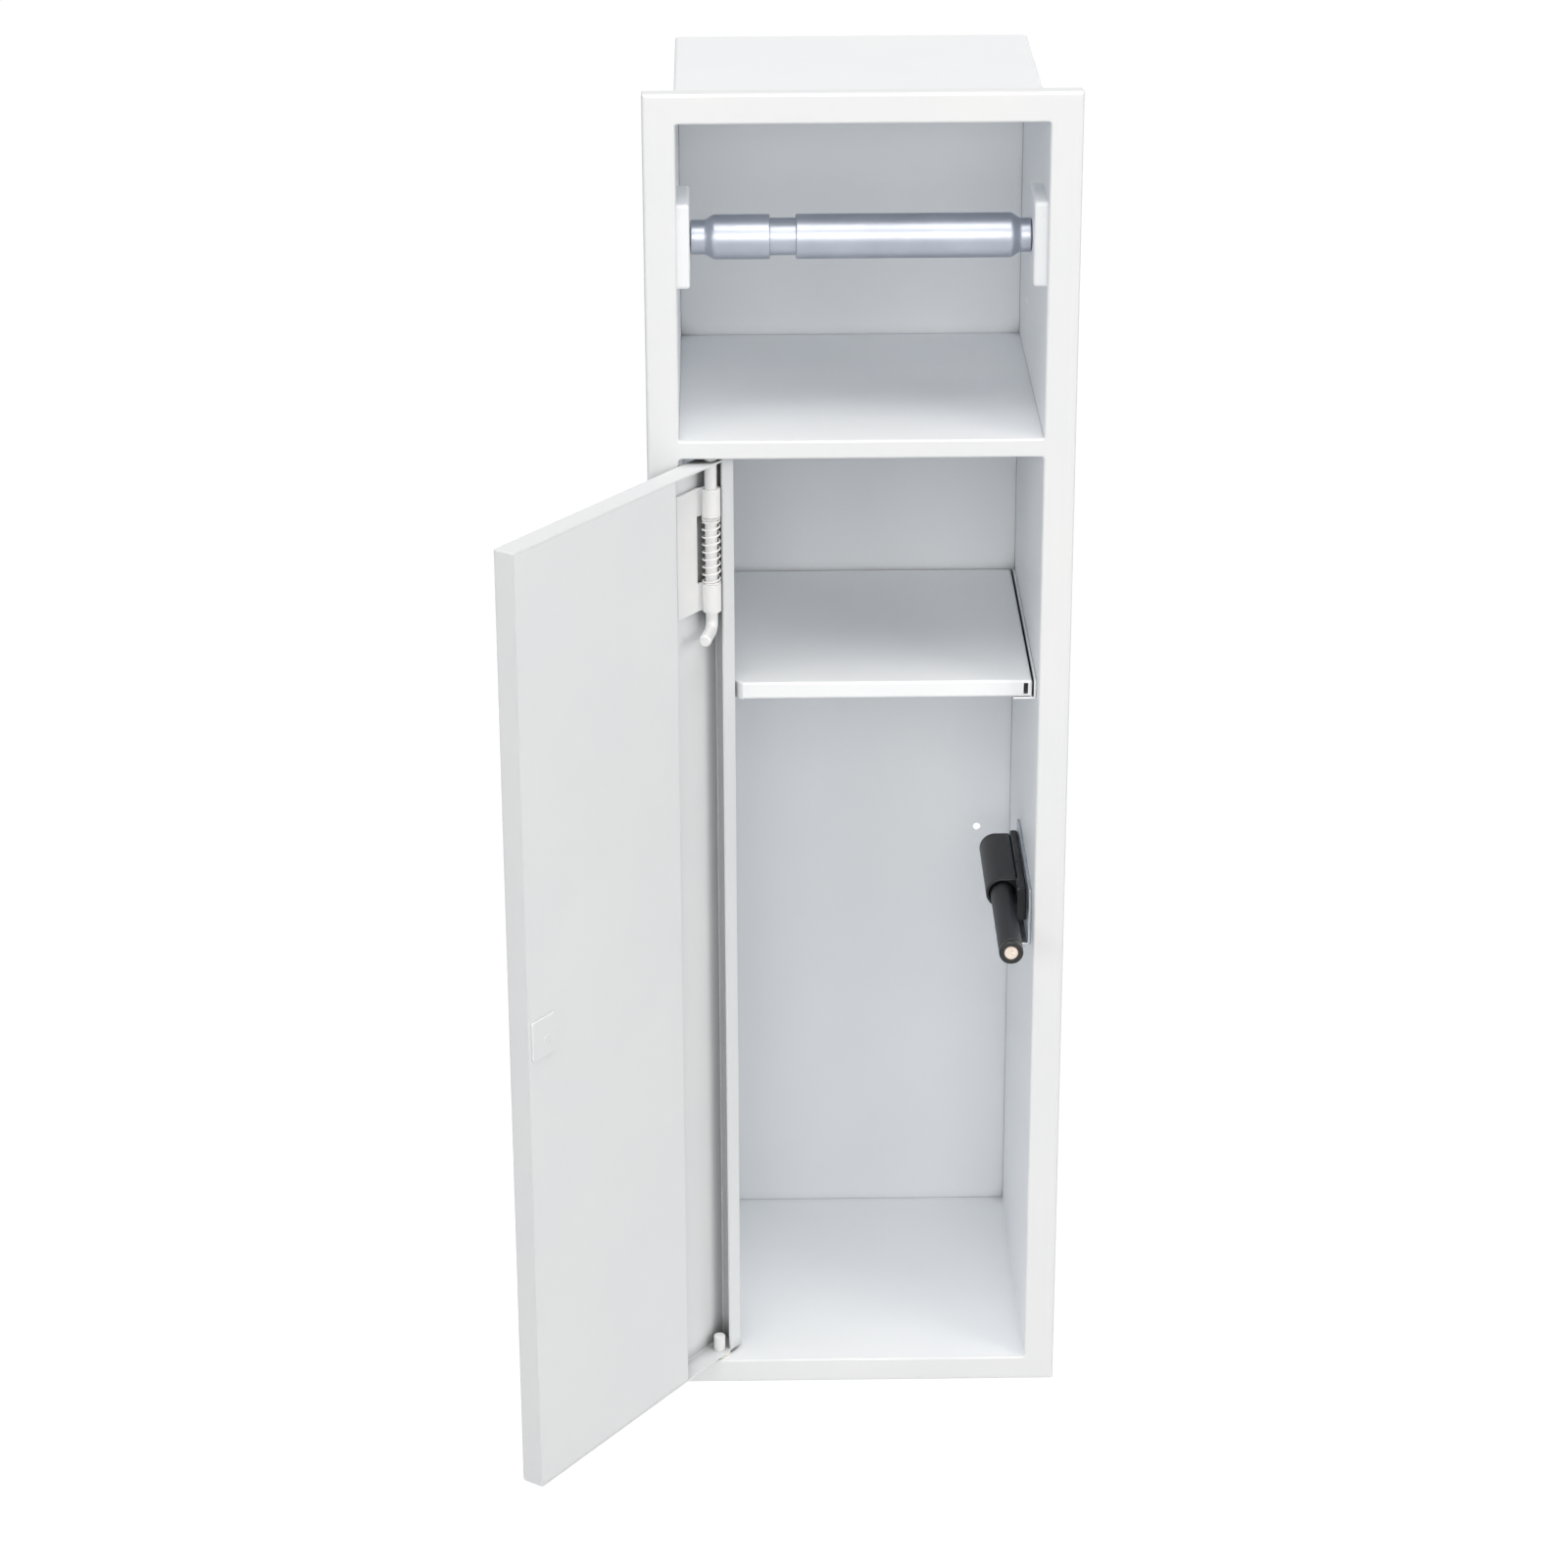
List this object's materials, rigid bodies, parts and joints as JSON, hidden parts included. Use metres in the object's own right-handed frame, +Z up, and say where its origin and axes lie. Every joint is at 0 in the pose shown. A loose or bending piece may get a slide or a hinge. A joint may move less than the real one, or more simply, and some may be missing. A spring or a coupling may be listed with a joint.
{
  "type": "recessed bathroom niche shelf",
  "caption": "Recessed wall cabinet: an open niche with a spring roller over a shelved cupboard whose pivoted door closes on a magnetic push latch.",
  "frame": {"origin": "centre of the face frame's back face, in the plane of the finished wall", "axes": "+X to the right seen from the room, +Y into the wall, +Z up"},
  "size_m": [0.2666, 0.2916, 0.67],
  "materials": {
    "powder_coat": "satin",
    "bare_steel": "satin",
    "roller_plastic": "metallised gloss",
    "latch_plastic": "fine matt",
    "nylon": "matt",
    "magnet": "nickel plated"
  },
  "bodies": {
    "cabinet": {"front_frame": "powder_coat", "cabinet_shell": "powder_coat", "back_panel": "powder_coat", "divider_tray": "powder_coat", "shelf_ledge_left": "powder_coat", "shelf_ledge_right": "powder_coat", "roller_bracket_left": "powder_coat", "roller_bracket_right": "powder_coat", "top_pivot_bush": "nylon", "bottom_pivot_bush": "nylon", "latch_bracket": "bare_steel", "latch_base": "latch_plastic", "latch_housing": "latch_plastic", "latch_guide_rod": "bare_steel", "latch_screws": "bare_steel"},
    "door": {"door_outer_pan": "powder_coat", "door_inner_panel": "powder_coat", "hinge_leaf": "powder_coat", "bottom_pivot_pin": "powder_coat", "pivot_washer": "nylon", "strike_plate": "powder_coat", "strike_screw": "bare_steel", "hinge_spring": "powder_coat"},
    "pull_pin": {"hinge_pin": "powder_coat", "pin_clip": "bare_steel"},
    "shelf": {"shelf_panel": "powder_coat"},
    "roller_right_half": {"roller_body": "roller_plastic", "roller_spring": "bare_steel"},
    "roller_left_half": {"roller_sleeve": "roller_plastic"},
    "latch_plunger": {"plunger_tube": "latch_plastic", "plunger_tip_ring": "latch_plastic", "tip_magnet": "magnet", "latch_spring": "bare_steel"}
  },
  "joints": [
    {"name": "door_swing", "type": "hinge", "parent": "cabinet", "child": "door", "pos_m": [-0.0705, -0.002, 0], "axis": [0, 0, 1], "range_deg": [0, 125.9]},
    {"name": "plunger_slide", "type": "slide", "parent": "cabinet", "child": "latch_plunger", "axis": [0, 1, 0], "range_m": [0, 0.0401], "deforming": ["latch_spring"]},
    {"name": "hinge_pin_pull", "type": "slide", "parent": "door", "child": "pull_pin", "axis": [0, 0, -1], "range_m": [0, 0.01], "stiffness_N_per_m": 300, "springref_m": -0.02, "deforming": ["hinge_spring"]},
    {"name": "shelf_lift", "type": "slide", "parent": "cabinet", "child": "shelf", "axis": [0, 0, 1], "range_m": [0, 0.015]},
    {"name": "roller_spin", "type": "hinge", "parent": "cabinet", "child": "roller_right_half", "pos_m": [0, 0.016, 0.262], "axis": [1, 0, 0], "continuous": true},
    {"name": "roller_compress", "type": "slide", "parent": "roller_right_half", "child": "roller_left_half", "axis": [1, 0, 0], "range_m": [0, 0.01], "stiffness_N_per_m": 200, "springref_m": -0.02, "deforming": ["roller_spring"]}
  ],
  "couplings": [
    {"joint": "plunger_slide", "follows": "door_swing", "m_per_rad": 0.0182}
  ]
}
